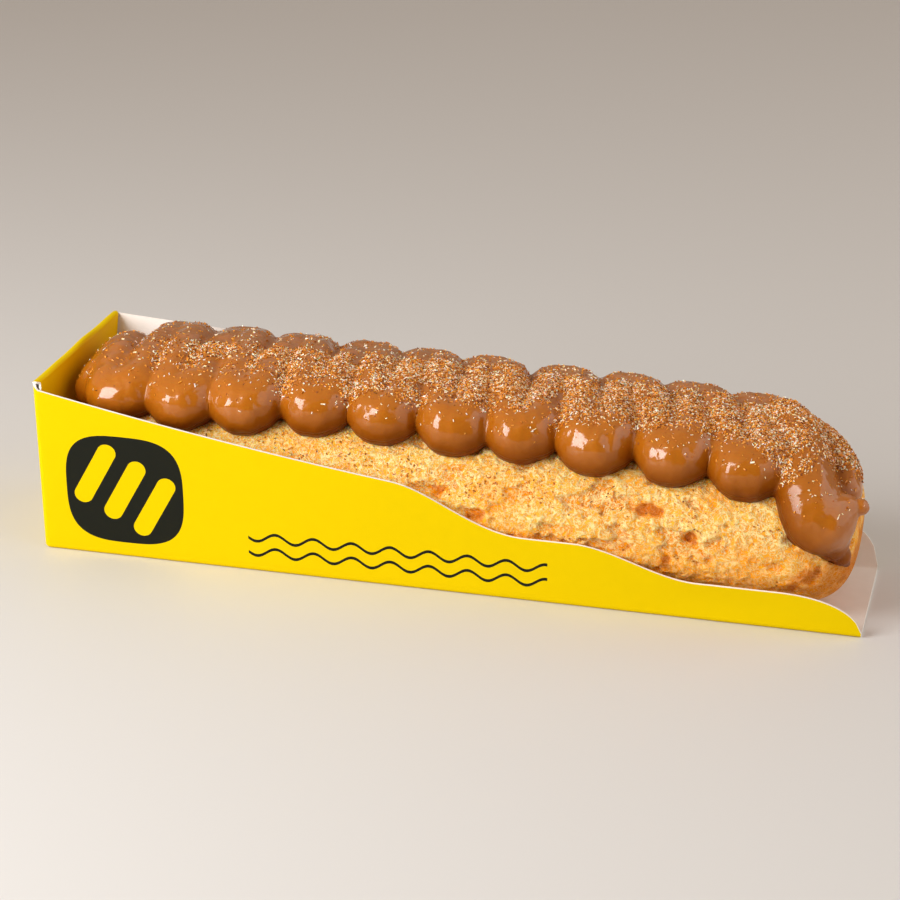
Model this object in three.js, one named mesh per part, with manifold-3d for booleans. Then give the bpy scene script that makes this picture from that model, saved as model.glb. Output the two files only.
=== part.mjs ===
// A filled pastry baton with a piped caramel topping, lying in its folded card case.
// Millimetres, +Z up. The origin is the middle of the case's underside. The case is closed
// at -X and open at +X, and its printed front wall faces -Y.

import * as THREE from 'three';
import { mergeVertices } from 'three/addons/utils/BufferGeometryUtils.js';
import Module from 'manifold-3d';

const { Manifold, Mesh: SolidMesh } = await Module().then((wasm) => {
  wasm.setup();
  return wasm;
});

const { clamp, lerp, degToRad } = THREE.MathUtils;

// Case, a single folded sheet of coated card
const caseLength = 180;
const floorWidth = 41;
const cardThickness = 0.5;
const wallHeight = 39; // at the closed end
const wallLean = 7; // how far a wall's top stands outside its foot at the closed end

// The back wall stays almost level from the closed end, then comes down to just above the
// front wall's line
const backWall = { height: 40.6, fall: 0.055, from: 56, to: 124, above: 1.5, corner: 10.5 };

// Wavy cut along both long walls, measured from the closed end
const slopeEnd = { x: 78, height: 25.6, sag: 0.8 };
const firstStep = { from: 79, to: 108, height: 15.1 };
const secondStep = { from: 118, to: 145, height: 8.7 };
const cornerLength = 18; // the front wall's rounded corner at the open end
const cornerPower = 2.15;
const wallStep = { slope: 8, waves: 3.5 }; // spacing of the walls' facets
const cornerSteps = 12;

// End wall, rolled over at the top into a second panel inside
const endWallHeight = 41.2;
const rollRadius = 0.9;
const rollSteps = 8;
const sheetOverlap = 0.15; // how far the glued sheets sink into each other
const panelSideGap = 0.5;
const panelFootGap = 0.5;

// Baton, a soft blunt-ended loaf
const batonStart = 4.6; // from the closed end
const batonEnd = 177.2;
const batonHalfWidth = 22.5;
const batonCentre = 20; // height of its widest line
const batonFoot = 0.8; // its flat underside, just clear of the card
const batonTop = { closed: 36.9, open: 33.4, from: 20, to: 165 };
const sectionPower = 2.35;
const endLength = 20; // length of each rounded end
const endPower = { top: 2.5, foot: 3.4, from: 60, to: 120 }; // blunter towards its foot
const batonCapSteps = 8;
const batonColumns = 46;
const batonRows = 30;

// Torn pits in the crust: distance from the closed end, angle down from the top, radius, depth
const pits = [
  { x: 89, angle: 82, radius: 3.2, depth: 1.3 },
  { x: 134.2, angle: 80, radius: 4, depth: 1.7 },
  { x: 143.2, angle: 94, radius: 3, depth: 1.4 },
  { x: 62, angle: -80, radius: 4.0, depth: 1.5 },
  { x: 118, angle: -88, radius: 3.6, depth: 1.4 },
];
const crustWave = { depth: 0.45, along: 0.31, twist: 0.11, lobes: 5, wander: 3 }; // broad waves
const foot = { from: 125, to: 150 }; // degrees from the top where the crust turns smooth

// Piped caramel, one rope laid to and fro across the baton
// Turning points are given from the closed end, and angles from the top of the baton
const firstTurns = [
  { x: 10.5, angle: 38, radius: 4.6 },
  { x: 12.5, angle: -38, radius: 4.9 },
];
const frontTurns = [
  { x: 17.6, angle: 45.5, radius: 6.1 },
  { x: 30.8, angle: 47.4, radius: 6.2 },
  { x: 44.6, angle: 45.6, radius: 6.5 },
  { x: 60, angle: 42.3, radius: 6.2 },
  { x: 75, angle: 43.5, radius: 6 },
  { x: 90.6, angle: 45.6, radius: 6.2 },
  { x: 105.2, angle: 45.2, radius: 6.3 },
  { x: 121.2, angle: 48, radius: 6.6 },
  { x: 138, angle: 49.8, radius: 6.4 },
  { x: 153.9, angle: 52.6, radius: 6.5 },
];
const backTurns = [22, 35.8, 49.9, 64.6, 78.5, 92.5, 109, 123.4, 137.8, 152];
const backAngle = -43;
const backRadius = 6.1;
// A bend: its half length along the baton, where it starts round the baton, how deep it sags
// and leans, its radius at the sides and lift half way as shares of the usual, and its steps
const frontBend = { half: 2.9, start: -4.6, depth: 6.8, lean: 2.2, sides: 0.86, low: 0.78, steps: 6 };
const backBend = { half: 2.3, start: 1, depth: -2, lean: 0, sides: 0.93, low: 0.9, steps: 4 };
const downRadius = 5; // half way along an arm that comes from behind
const upRadius = 4.6; // half way along an arm that goes back up
const armLift = 0.3; // how much higher an arm stands there
const ropeLift = { closed: 0.62, open: 0.38, from: 135, to: 162 }; // off the baton, in rope radii
const fusing = 0.5; // how softly neighbouring arms run together
const topClearance = 0.3; // caramel to baton
const lastTurn = { x: 169.6, angle: 76, radius: 7.2, lift: 0.05 };
const lastArmRadius = 6.3; // half way along the arm that leads to it
// The strand that comes from behind and runs over the open end into the last loop
const endStrand = { x: [158, 172.6], angle: [-44, 52], radius: [4.6, 4.1], lift: [0.45, 0.2] };
const endStrandSteps = 16;
// The sheet that ran down from the last loop
const drape = [
  { x: 170.2, angle: 80, radius: 6, lift: 0 },
  { x: 172.6, angle: 91, radius: 3.8, lift: -0.2 },
  { x: 174.6, angle: 104, radius: 2, lift: -0.1 },
];
const drapeSteps = 5;
const nub = { x: 174.3, y: -18.2, z: 27.9, radius: 2.7, length: 5.1, sides: 14, bands: 9 };
const caramelColumns = 116;
const caramelRows = 36;
const caramelCapSteps = 14;
const skinSpan = { back: -84, front: 106 }; // degrees round the baton that the topping can reach
const coreRadius = 10; // the skin's least distance from the baton's middle line
const armSteps = 14;
const edgeFall = 1.3; // how steeply the skin drops away beside the rope

const leanPerHeight = wallLean / wallHeight;
const quarterTurn = Math.PI / 2;
const sameVertex = 1e-5; // vertices closer than this are one

// Turns a distance from the closed end into an X place
const fromClosedEnd = (x) => x - caseLength / 2;

function smoothStep(from, to, x) {
  const t = clamp((x - from) / (to - from), 0, 1);
  return t * t * (3 - 2 * t);
}

// Joins rings of points into one closed surface. The rings run along +X, each turns the same
// way, and a pole is the single point that closes an end. Without poles the ends are capped
// by strips between the first half of the ring and the second.
function loft(rings, startPole, endPole) {
  const size = rings[0].length;
  const positions = rings.flat().flatMap((p) => [p.x, p.y, p.z]);
  const indices = [];
  const at = (ring, i) => ring * size + ((i + size) % size);
  for (let ring = 0; ring < rings.length - 1; ring += 1) {
    for (let i = 0; i < size; i += 1) {
      indices.push(at(ring, i), at(ring, i + 1), at(ring + 1, i));
      indices.push(at(ring, i + 1), at(ring + 1, i + 1), at(ring + 1, i));
    }
  }
  const last = rings.length - 1;
  if (startPole && endPole) {
    const start = positions.length / 3;
    positions.push(startPole.x, startPole.y, startPole.z, endPole.x, endPole.y, endPole.z);
    for (let i = 0; i < size; i += 1) {
      indices.push(start, at(0, i + 1), at(0, i));
      indices.push(start + 1, at(last, i), at(last, i + 1));
    }
  } else {
    for (let i = 0; i < size / 2 - 1; i += 1) {
      const j = size - 1 - i;
      indices.push(at(0, i), at(0, j), at(0, i + 1));
      indices.push(at(0, i + 1), at(0, j), at(0, j - 1));
      indices.push(at(last, i), at(last, i + 1), at(last, j));
      indices.push(at(last, i + 1), at(last, j - 1), at(last, j));
    }
  }
  const geometry = new THREE.BufferGeometry();
  geometry.setAttribute('position', new THREE.Float32BufferAttribute(positions, 3));
  geometry.setIndex(indices);
  return geometry;
}

function toSolid(geometry) {
  const bare = geometry.clone();
  bare.deleteAttribute('normal');
  bare.deleteAttribute('uv');
  const merged = mergeVertices(bare, sameVertex);
  return new Manifold(new SolidMesh({
    numProp: 3,
    vertProperties: Float32Array.from(merged.attributes.position.array),
    triVerts: Uint32Array.from(merged.index.array),
  }));
}

function toGeometry(solid) {
  const mesh = solid.getMesh();
  const geometry = new THREE.BufferGeometry();
  geometry.setAttribute('position', new THREE.BufferAttribute(mesh.vertProperties, 3));
  geometry.setIndex(new THREE.BufferAttribute(mesh.triVerts, 1));
  return geometry;
}

// Share of a wall's height that its rounded corner leaves
function cornerShare(x, length) {
  const past = clamp((x - caseLength + length) / length, 0, 1);
  return (1 - past ** cornerPower) ** (1 / cornerPower);
}

// Height of the long walls' wavy cut at a distance from the closed end
function cutHeight(x) {
  const t = x / slopeEnd.x;
  const slope = lerp(wallHeight, slopeEnd.height, t) - 4 * slopeEnd.sag * t * (1 - t);
  const ledge = lerp(slope, firstStep.height, smoothStep(firstStep.from, firstStep.to, x));
  return lerp(ledge, secondStep.height, smoothStep(secondStep.from, secondStep.to, x));
}

function frontHeight(x) {
  return Math.max(cutHeight(x) * cornerShare(x, cornerLength), 2 * cardThickness);
}

function backHeight(x) {
  const tall = backWall.height - backWall.fall * x;
  const low = cutHeight(x) + backWall.above;
  const height = lerp(tall, low, smoothStep(backWall.from, backWall.to, x));
  return Math.max(height * cornerShare(x, backWall.corner), 2 * cardThickness);
}

// The floor and both leaning walls, as one bent sheet of even thickness
function caseChannel() {
  const side = floorWidth / 2;
  const tilt = Math.atan(leanPerHeight);
  const inward = { y: cardThickness * Math.cos(tilt), z: cardThickness * Math.sin(tilt) };
  const innerSide = side - cardThickness * Math.tan(quarterTurn / 2 - tilt / 2);
  const stations = [];
  for (let x = sheetOverlap; x < slopeEnd.x; x += wallStep.slope) stations.push(x);
  for (let x = slopeEnd.x; x < caseLength - cornerLength; x += wallStep.waves) stations.push(x);
  for (let i = 0; i <= cornerSteps; i += 1) {
    stations.push(caseLength - cornerLength * Math.cos((i / cornerSteps) * quarterTurn));
  }
  const rings = stations.map((x) => {
    const front = frontHeight(x);
    const back = backHeight(x);
    const point = (y, z) => new THREE.Vector3(fromClosedEnd(x), y, z);
    return [
      point(-side - front * leanPerHeight, front),
      point(-side, 0),
      point(side, 0),
      point(side + back * leanPerHeight, back),
      point(side + back * leanPerHeight - inward.y, back + inward.z),
      point(innerSide, cardThickness),
      point(-innerSide, cardThickness),
      point(-side - front * leanPerHeight + inward.y, front + inward.z),
    ];
  });
  return loft(rings);
}

// The end wall: up outside, over the roll and down again inside, a little narrower there
function rolledEnd() {
  const roll = [];
  for (let i = 0; i <= rollSteps; i += 1) roll.push((i / rollSteps) * 2 * quarterTurn);
  const rollBase = endWallHeight - rollRadius;
  const panelGap = cardThickness + panelSideGap;
  const path = [
    { x: 0, z: sheetOverlap, out: -1, up: 0, gap: sheetOverlap },
    ...roll.map((a) => ({
      x: rollRadius * (1 - Math.cos(a)),
      z: rollBase + rollRadius * Math.sin(a),
      out: -Math.cos(a),
      up: Math.sin(a),
      gap: lerp(0, panelGap, smoothStep(quarterTurn, 2 * quarterTurn, a)),
    })),
    { x: 2 * rollRadius, z: cardThickness + panelFootGap, out: 1, up: 0, gap: panelGap },
  ];
  const rings = path.map(({ x, z, out, up, gap }) => {
    const width = floorWidth / 2 + z * leanPerHeight - gap;
    const inner = { x: x - out * cardThickness, z: z - up * cardThickness };
    return [
      new THREE.Vector3(fromClosedEnd(inner.x), -width, inner.z),
      new THREE.Vector3(fromClosedEnd(inner.x), width, inner.z),
      new THREE.Vector3(fromClosedEnd(x), width, z),
      new THREE.Vector3(fromClosedEnd(x), -width, z),
    ];
  });
  return loft(rings);
}

function cardCase() {
  return toGeometry(toSolid(caseChannel()).add(toSolid(rolledEnd())));
}

// The baton's section shrinks to nothing round each blunt end
function sectionScale(x, angle) {
  const toClosed = clamp((batonStart + endLength - x) / endLength, 0, 1);
  const toOpen = clamp((x - batonEnd + endLength) / endLength, 0, 1);
  const low = smoothStep(degToRad(endPower.from), degToRad(endPower.to), Math.abs(angle));
  const power = lerp(endPower.top, endPower.foot, low);
  return (1 - Math.max(toClosed, toOpen) ** power) ** (1 / power);
}

// Point of the smooth baton at a distance from the closed end and an angle from the top,
// positive towards the front wall
function batonPoint(x, angle, proud = 0) {
  const top = lerp(batonTop.closed, batonTop.open, smoothStep(batonTop.from, batonTop.to, x));
  const reach = Math.cos(angle) > 0 ? top - batonCentre : batonCentre - batonFoot;
  const across = Math.abs(Math.sin(angle) / batonHalfWidth) ** sectionPower;
  const along = Math.abs(Math.cos(angle) / reach) ** sectionPower;
  const radius = sectionScale(x, angle) * (across + along) ** (-1 / sectionPower) + proud;
  return new THREE.Vector3(
    fromClosedEnd(x),
    -radius * Math.sin(angle),
    batonCentre + radius * Math.cos(angle),
  );
}

// Distances from the closed end at which the baton's rings stand, close together at its ends
function batonStations() {
  const cap = [];
  for (let i = 1; i <= batonCapSteps; i += 1) {
    const t = (i / batonCapSteps) * quarterTurn;
    cap.push(batonStart + endLength * (1 - Math.cos(t) ** (2 / endPower.top)));
  }
  const mirrored = cap.map((x) => batonStart + batonEnd - x).reverse();
  const straight = [];
  const steps = batonColumns - 2 * batonCapSteps;
  for (let i = 1; i < steps; i += 1) straight.push(lerp(cap.at(-1), mirrored[0], i / steps));
  return [...cap, ...straight, ...mirrored];
}

// How far the crust is sunk below the smooth baton: broad waves and torn pits
function crustDent(x, angle) {
  const wander = 2 * Math.sin(angle * crustWave.wander);
  const around = Math.sin(angle * crustWave.lobes + x * crustWave.twist);
  const waves = Math.sin(x * crustWave.along + wander) * around;
  const torn = pits.reduce((sum, pit) => {
    const away = Math.hypot(x - pit.x, batonHalfWidth * (angle - degToRad(pit.angle)));
    return sum + pit.depth * Math.exp(-((away / pit.radius) ** 2));
  }, 0);
  return crustWave.depth * (0.5 + 0.5 * waves) + torn;
}

function batonRings(dent, proud) {
  return batonStations().map((x) => {
    const ring = [];
    for (let i = 0; i < batonRows; i += 1) {
      const turn = (i / batonRows) * 360;
      const degrees = turn > 180 ? turn - 360 : turn;
      const angle = degToRad(degrees);
      const onFloor = smoothStep(foot.from, foot.to, Math.abs(degrees));
      const sunk = dent ? crustDent(x, angle) * sectionScale(x, angle) * (1 - onFloor) : 0;
      ring.push(batonPoint(x, angle, proud - sunk));
    }
    return ring;
  });
}

function batonSolid(dent, proud) {
  const startPole = new THREE.Vector3(fromClosedEnd(batonStart - proud), 0, batonCentre);
  const endPole = new THREE.Vector3(fromClosedEnd(batonEnd + proud), 0, batonCentre);
  return loft(batonRings(dent, proud), startPole, endPole);
}

// Middle of the rope at a place on the baton, standing off along the surface's own normal
function ropeCentre(x, angle, standOff) {
  const step = 0.05;
  const here = batonPoint(x, angle);
  const along = batonPoint(x + step, angle).sub(batonPoint(x - step, angle));
  const across = batonPoint(x, angle + step).sub(batonPoint(x, angle - step));
  const normal = across.cross(along).normalize();
  return here.addScaledVector(normal, standOff);
}

function ball(x, degrees, radius, lift) {
  return { centre: ropeCentre(x, degToRad(degrees), radius * lift), radius };
}

// Height of the rope's middle over the crust in rope radii, less at the open end
function usualLift(x) {
  return lerp(ropeLift.closed, ropeLift.open, smoothStep(ropeLift.from, ropeLift.to, x));
}

// Half a turn round a bend: along the baton by a cosine, round the baton by a sine and a lean
function bendTurns({ x, angle, radius }, bend) {
  const turns = [];
  for (let i = 0; i <= bend.steps; i += 1) {
    const phi = (Math.PI * i) / bend.steps;
    const round = Math.sin(phi);
    turns.push({
      x: x - bend.half * Math.cos(phi),
      angle: angle + bend.start + bend.depth * round + bend.lean * Math.cos(phi),
      radius: radius * lerp(bend.sides, 1, round),
      lift: usualLift(x) * lerp(1, bend.low, round),
    });
  }
  return turns;
}

// The rope's bends from the closed end to the last hanging loop
function ropeBends() {
  const middleBends = frontTurns.flatMap((front, i) => [
    bendTurns(front, frontBend),
    bendTurns({ x: backTurns[i], angle: backAngle, radius: backRadius }, backBend),
  ]);
  const firstBends = firstTurns.map((turn) => [{ ...turn, lift: usualLift(turn.x) }]);
  return [...firstBends, ...middleBends, [lastTurn]];
}

// A run of balls between two bends: the distance along grows evenly, the angle follows a
// cosine, and the arm is slimmest and highest half way
function crossingArm(from, to) {
  const balls = [];
  const usualSlim = to.angle > from.angle ? downRadius : upRadius;
  const slimmest = to === lastTurn ? lastArmRadius : usualSlim;
  for (let i = 0; i <= armSteps; i += 1) {
    const t = i / armSteps;
    const swing = (1 - Math.cos(Math.PI * t)) / 2;
    const slim = Math.sin(Math.PI * t) ** 2;
    const radius = lerp(lerp(from.radius, to.radius, swing), slimmest, slim);
    const lift = lerp(from.lift, to.lift, swing) * (1 + armLift * slim);
    balls.push(ball(lerp(from.x, to.x, t), lerp(from.angle, to.angle, swing), radius, lift));
  }
  return balls;
}

// The whole rope: its round bends and the arms that cross the baton between them
function ropeArms() {
  const bends = ropeBends();
  const rounds = bends.filter((turns) => turns.length > 1);
  const crossings = bends.slice(1).map((to, k) => crossingArm(bends[k].at(-1), to[0]));
  return [
    ...rounds.map((turns) => turns.map(({ x, angle, radius, lift }) => ball(x, angle, radius, lift))),
    ...crossings,
  ];
}

// The end strand's distance follows a quarter of a sine, so that it bends round the open end
function endArms() {
  const strand = [];
  for (let i = 0; i <= endStrandSteps; i += 1) {
    const t = i / endStrandSteps;
    const x = lerp(...endStrand.x, Math.sin(quarterTurn * t));
    const mix = (key) => lerp(...endStrand[key], t);
    strand.push(ball(x, mix('angle'), mix('radius'), mix('lift')));
  }
  const sheet = [];
  drape.slice(1).forEach((to, k) => {
    for (let i = 0; i <= drapeSteps; i += 1) {
      const mix = (key) => lerp(drape[k][key], to[key], i / drapeSteps);
      sheet.push(ball(mix('x'), mix('angle'), mix('radius'), mix('lift')));
    }
  });
  return [strand, sheet];
}

// How far a ray runs from its start to the far side of the rope. A ray that misses falls
// away steeply with the distance by which it misses.
function reachOf(balls, start, direction) {
  let best = -Infinity;
  for (const { centre, radius } of balls) {
    const offset = centre.clone().sub(start);
    const nearest = offset.dot(direction);
    const spare = radius * radius - offset.lengthSq() + nearest * nearest;
    const hit = nearest + Math.sqrt(Math.max(spare, 0));
    const miss = edgeFall * Math.sqrt(Math.max(-spare, 0));
    best = Math.max(best, hit - miss);
  }
  return best;
}

// The topping before the baton is cut out of it: a closed skin found by rays from the
// baton's middle line, which fan out round both ends
function caramelSkin() {
  const arms = [...ropeArms(), ...endArms()];
  const first = batonStart + endLength;
  const last = batonEnd - endLength;
  const capFans = [];
  for (let i = 1; i < caramelCapSteps; i += 1) capFans.push((i / caramelCapSteps) * quarterTurn);
  const fans = capFans.map((fan) => ({ x: first, fan: -fan })).reverse();
  const steps = caramelColumns - 2 * caramelCapSteps;
  for (let i = 0; i <= steps; i += 1) fans.push({ x: lerp(first, last, i / steps), fan: 0 });
  fans.push(...capFans.map((fan) => ({ x: last, fan })));

  const pointOn = (x, fan, angle) => {
    const start = new THREE.Vector3(fromClosedEnd(x), 0, batonCentre);
    const direction = new THREE.Vector3(
      Math.sin(fan),
      -Math.cos(fan) * Math.sin(angle),
      Math.cos(fan) * Math.cos(angle),
    );
    const reaches = arms.map((balls) => reachOf(balls, start, direction));
    const most = Math.max(...reaches);
    const sum = reaches.reduce((total, reach) => total + Math.exp((reach - most) / fusing), 0);
    const reach = Math.max(most + fusing * Math.log(sum), coreRadius);
    return start.addScaledVector(direction, reach);
  };

  const rings = fans.map(({ x, fan }) => {
    const ring = [];
    for (let i = 0; i < caramelRows; i += 1) {
      const degrees = lerp(skinSpan.back, skinSpan.front, i / (caramelRows - 1));
      ring.push(pointOn(x, fan, degToRad(degrees)));
    }
    return ring;
  });
  return loft(rings, pointOn(first, -quarterTurn, 0), pointOn(last, quarterTurn, 0));
}

function pipedCaramel() {
  const tail = new THREE.SphereGeometry(nub.radius, nub.sides, nub.bands);
  tail.rotateZ(quarterTurn);
  tail.scale(nub.length / nub.radius, 1, 1);
  tail.translate(fromClosedEnd(nub.x), nub.y, nub.z);
  const bed = toSolid(batonSolid(false, topClearance));
  const solid = toSolid(caramelSkin()).add(toSolid(tail)).subtract(bed);
  const pieces = solid.decompose().sort((a, b) => b.volume() - a.volume());
  return toGeometry(pieces[0]);
}

const card = new THREE.MeshStandardMaterial({ color: 0xf5d400, roughness: 0.42, metalness: 0 });
const crust = new THREE.MeshStandardMaterial({ color: 0xe9b060, roughness: 0.85, metalness: 0 });
const caramel = new THREE.MeshStandardMaterial({ color: 0xb4703a, roughness: 0.28, metalness: 0 });

function named(name, geometry, material) {
  const mesh = new THREE.Mesh(geometry, material);
  mesh.name = name;
  return mesh;
}

const group = new THREE.Group();
group.add(
  named('card_case', cardCase(), card),
  named('baton', batonSolid(true, 0), crust),
  named('piped_caramel', pipedCaramel(), caramel),
);

export default group;
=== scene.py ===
import math

import bpy
import numpy as np
from mathutils import Matrix, Vector


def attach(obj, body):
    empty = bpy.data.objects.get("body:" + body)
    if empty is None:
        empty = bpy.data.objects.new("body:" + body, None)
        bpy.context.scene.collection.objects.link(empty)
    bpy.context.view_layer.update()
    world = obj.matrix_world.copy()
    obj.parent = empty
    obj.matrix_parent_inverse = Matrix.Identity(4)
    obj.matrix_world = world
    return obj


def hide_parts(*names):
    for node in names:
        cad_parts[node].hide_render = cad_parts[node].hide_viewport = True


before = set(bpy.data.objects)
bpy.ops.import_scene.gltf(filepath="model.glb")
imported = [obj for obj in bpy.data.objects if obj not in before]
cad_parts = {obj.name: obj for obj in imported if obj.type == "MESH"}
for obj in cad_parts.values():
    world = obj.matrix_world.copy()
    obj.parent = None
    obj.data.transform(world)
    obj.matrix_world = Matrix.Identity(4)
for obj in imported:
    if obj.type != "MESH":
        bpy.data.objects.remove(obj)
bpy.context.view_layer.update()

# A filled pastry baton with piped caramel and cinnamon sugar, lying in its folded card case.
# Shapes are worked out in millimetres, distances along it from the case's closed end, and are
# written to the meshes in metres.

mm = 0.001


# From 0 to 1 between two values, by a smooth step
def fade(low, high, x):
    t = np.clip((x - low) / (high - low), 0, 1)
    return t * t * (3 - 2 * t)


def mix(a, b, t):
    return a + (b - a) * t


def unit(vectors):
    return vectors / np.maximum(np.linalg.norm(vectors, axis=-1, keepdims=True), 1e-12)


# Points from their coordinates, each an array or one number
def pointsAt(x, y, z):
    return np.stack(np.broadcast_arrays(x, y, z), axis=-1)


# A random number from 0 to 1 for each whole-number cell, mixed from the cell's three numbers
def cellRandom(cell, seed):
    mixed = cell.astype(np.int64).astype(np.uint32) * np.array([73856093, 19349663, 83492791], np.uint32)
    value = mixed[..., 0] ^ mixed[..., 1] ^ mixed[..., 2] ^ np.uint32(seed * 7919 + 17)
    for shift, factor in ((16, 2246822519), (13, 3266489917), (16, 668265263)):
        value = (value ^ (value >> np.uint32(shift))) * np.uint32(factor)
    return (value >> np.uint32(8)) / float(1 << 24)


# Soft noise from 0 to 1: random numbers on a lattice, blended by a smooth step
def softNoise(points, size, seed):
    place = points / size
    low = np.floor(place)
    part = place - low
    part = part * part * (3 - 2 * part)
    total = np.zeros(points.shape[:-1])
    for corner in np.ndindex(2, 2, 2):
        step = np.array(corner)
        weight = np.prod(np.where(step == 1, part, 1 - part), axis=-1)
        total += weight * cellRandom(low + step, seed)
    return total


# Several octaves of soft noise, each half the size and strength of the one before
def layeredNoise(points, size, seed, octaves=3):
    total, most = 0, 0
    for k in range(octaves):
        total = total + softNoise(points, size / 2 ** k, seed + k) / 2 ** k
        most += 1 / 2 ** k
    return total / most


# Distance to the nearest of random points, one in each cell, in cell sizes
def nearestSpot(points, size, seed):
    place = points / size
    low = np.floor(place)
    nearest = np.full(points.shape[:-1], 9.0)
    for corner in np.ndindex(3, 3, 3):
        cell = low + np.array(corner) - 1
        spot = cell + np.stack([cellRandom(cell, seed + k) for k in range(3)], axis=-1)
        nearest = np.minimum(nearest, np.linalg.norm(spot - place, axis=-1))
    return nearest


# Quads between the neighbouring points of a grid kept row by row
def gridFaces(rows, columns, closed=False):
    across = np.arange(columns if closed else columns - 1)
    right = (across + 1) % columns
    down = np.arange(rows - 1)[:, None] * columns
    corners = [down + across, down + right, down + columns + right, down + columns + across]
    return np.stack(corners, axis=-1).reshape(-1, 4)


# Faces of a tube of rings, closed by fans round the two poles that follow the rings' points
def tubeFaces(rows, columns):
    pole, first, start = rows * columns, np.arange(columns), (rows - 1) * columns
    following = np.roll(first, -1)
    fans = [(pole, following, first), (pole + 1, first + start, following + start)]
    fans = [np.stack(np.broadcast_arrays(*fan), axis=-1) for fan in fans]
    return gridFaces(rows, columns, closed=True), np.concatenate(fans)


def addObject(name, data):
    item = bpy.data.objects.new(name, data)
    bpy.context.scene.collection.objects.link(item)
    return item


def meshPoints(mesh):
    flat = np.zeros(len(mesh.vertices) * 3, np.float32)
    mesh.vertices.foreach_get("co", flat)
    return flat.reshape(-1, 3).astype(float) / mm


def setPoints(mesh, points):
    mesh.vertices.foreach_set("co", (points * mm).astype(np.float32).ravel())


# A piece of the model from its points in millimetres and its groups of faces
def makePiece(name, points, faceGroups, materials, nodes):
    corners = np.concatenate([group.ravel() for group in faceGroups])
    sizes = np.concatenate([np.full(len(group), group.shape[1]) for group in faceGroups])
    mesh = bpy.data.meshes.new(name)
    mesh.vertices.add(len(points))
    setPoints(mesh, points)
    mesh.loops.add(len(corners))
    mesh.polygons.add(len(sizes))
    mesh.polygons.foreach_set("loop_start", (np.cumsum(sizes) - sizes).astype(np.int32))
    mesh.polygons.foreach_set("vertices", corners.astype(np.int32))
    mesh.update(calc_edges=True)
    mesh.validate()
    mesh.shade_smooth()
    for material in materials:
        mesh.materials.append(material)
    piece = addObject(name, mesh)
    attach(piece, "root")
    if nodes:
        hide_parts(*nodes)
    return piece


def addAttribute(piece, name, values):
    kind, key = ("FLOAT_VECTOR", "vector") if values.ndim == 2 else ("FLOAT", "value")
    layer = piece.data.attributes.new(name, kind, "POINT")
    layer.data.foreach_set(key, values.astype(np.float32).ravel())


# Puts the modifiers' result into the piece's own mesh
def applyModifiers(piece):
    graph = bpy.context.evaluated_depsgraph_get()
    finished = bpy.data.meshes.new_from_object(piece.evaluated_get(graph), depsgraph=graph)
    old = piece.data
    piece.modifiers.clear()
    piece.data = finished
    bpy.data.meshes.remove(old)
    finished.name = piece.name


# Materials

def linear(hexColour):
    parts = [int(hexColour[i:i + 2], 16) / 255 for i in (1, 3, 5)]
    return [p / 12.92 if p <= 0.04045 else ((p + 0.055) / 1.055) ** 2.4 for p in parts] + [1.0]


# One node with its settings and its inputs, each a value or another node's socket
def addNode(tree, kind, settings=None, inputs=None):
    node = tree.nodes.new(kind)
    for key, value in (settings or {}).items():
        setattr(node, key, value)
    for key, value in (inputs or {}).items():
        if isinstance(value, bpy.types.Node):
            value = value.outputs[0]
        if isinstance(value, bpy.types.NodeSocket):
            tree.links.new(value, node.inputs[key])
        else:
            node.inputs[key].default_value = value
    return node


def newMaterial(name):
    material = bpy.data.materials.new(name)
    material.use_nodes = True
    tree = material.node_tree
    tree.nodes.clear()
    shader = addNode(tree, "ShaderNodeBsdfPrincipled")
    addNode(tree, "ShaderNodeOutputMaterial", inputs={"Surface": shader})
    return material, tree, shader


def setShader(shader, values):
    for key, value in values.items():
        shader.inputs[key].default_value = value


# Coated folding boxboard, offset printed: a smooth, nearly matt film of ink in one strong yellow,
# with the faint mottle of the board under it. The panel folded in behind the end wall is given a
# warmer, more orange yellow as painted shade. The drawing on the front wall is a plain dark badge
# with three slanted bars, and two wavy strokes beside it.
cardPrint = {
    "yellow": "#E4C500",
    # A warmer yellow for the folded-in panel: painted shade
    "panel": "#F2B600",
    "panelFrom": 1.0,
    "ink": "#20211B",
    "mottleMm": 3.0,
    "fibreMm": 0.35,
    "badge": {"x": 19.5, "height": 16.8, "half": 13.2, "power": 3.2},
    "bars": {"turn": 62, "spacing": 7.4, "length": 12.2, "radius": 2.1},
    "waves": {
        "from": 47, "to": 113, "low": 5.0, "high": 8.6, "rise": 1.0, "length": 8.5, "thickness": 0.75,
    },
}


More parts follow.
